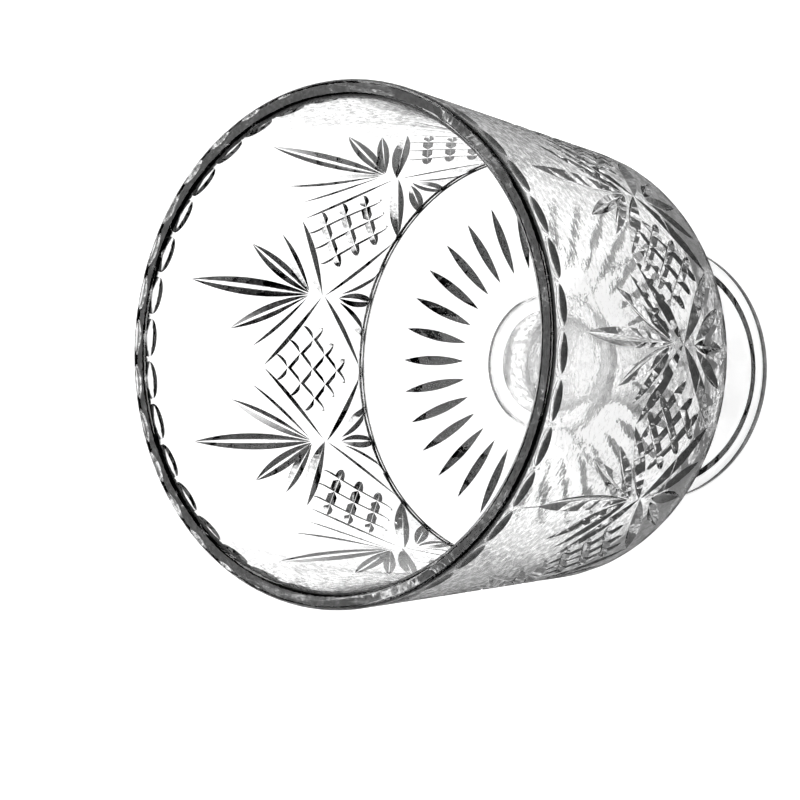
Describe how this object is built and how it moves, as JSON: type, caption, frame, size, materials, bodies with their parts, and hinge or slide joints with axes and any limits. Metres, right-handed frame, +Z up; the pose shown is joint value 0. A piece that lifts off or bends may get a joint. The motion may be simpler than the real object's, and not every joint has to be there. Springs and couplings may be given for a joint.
{
  "type": "punch bowl",
  "caption": "Clear pressed-glass punch bowl with a cut pattern, a deep bucket-shaped body, a short stem and a round foot.",
  "frame": {"origin": "centre of the foot's resting plane, directly under the bowl", "axes": "+Z up along the bowl's axis of symmetry, towards the mouth; +X points to the middle of one repeat of the wall pattern"},
  "size_m": [0.2296, 0.2296, 0.26],
  "materials": {
    "crystal": "clear, pressed and fire-polished, with crisp cuts"
  },
  "bodies": {
    "root": {"bowl": "crystal", "collar": "crystal", "stem": "crystal", "foot": "crystal"}
  },
  "joints": []
}
